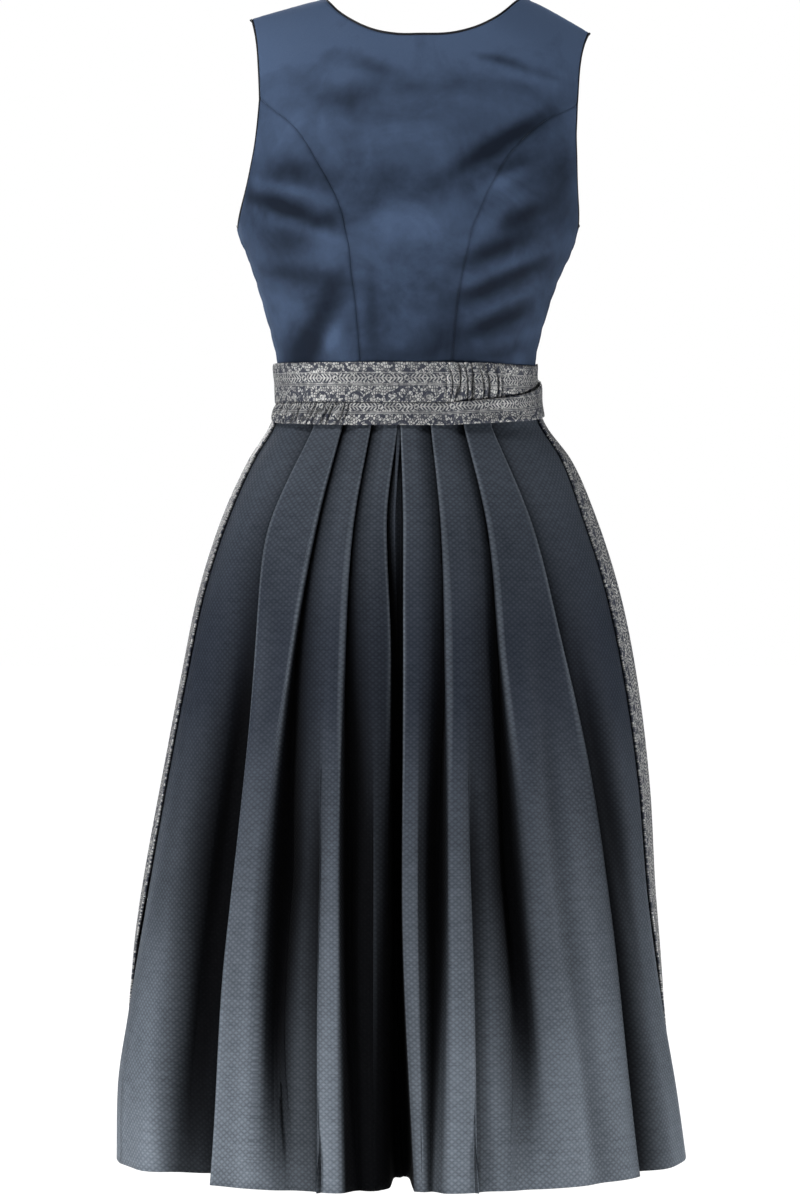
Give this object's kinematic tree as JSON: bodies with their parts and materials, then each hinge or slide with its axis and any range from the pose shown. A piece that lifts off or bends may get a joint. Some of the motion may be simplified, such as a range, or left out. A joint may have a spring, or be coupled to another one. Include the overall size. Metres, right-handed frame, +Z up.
{
  "type": "dirndl",
  "caption": "Sleeveless midi dirndl as worn: velvet princess-seamed bodice with a scooped neck, pleated skirt, gathered apron with waistband and tied ties.",
  "frame": {"origin": "midway between the inner tops of the two shoulder seams, where the wearer's shoulders carry the garment", "axes": "+Z up, the garment's front faces -Y and its back +Y, +X to the wearer's left"},
  "size_m": [0.5278, 0.4636, 1.0658],
  "materials": {
    "velvet": "matte pile",
    "piping": "satin",
    "jacquard": "soft sheen",
    "brocade": "woven silver sheen"
  },
  "bodies": {
    "root": {"bodice_back": "velvet", "bodice_side_back_left": "velvet", "bodice_side_back_right": "velvet", "bodice_side_front_left": "velvet", "bodice_side_front_right": "velvet", "bodice_front_left": "velvet", "bodice_front_right": "velvet", "neck_piping": "piping", "armhole_piping_left": "piping", "armhole_piping_right": "piping", "skirt_back": "jacquard", "skirt_front": "jacquard", "apron": "brocade", "apron_waistband": "brocade", "tie_left": "brocade", "tie_right": "brocade", "tie_knot": "brocade", "tie_end_left": "brocade", "tie_end_right": "brocade"}
  },
  "joints": []
}
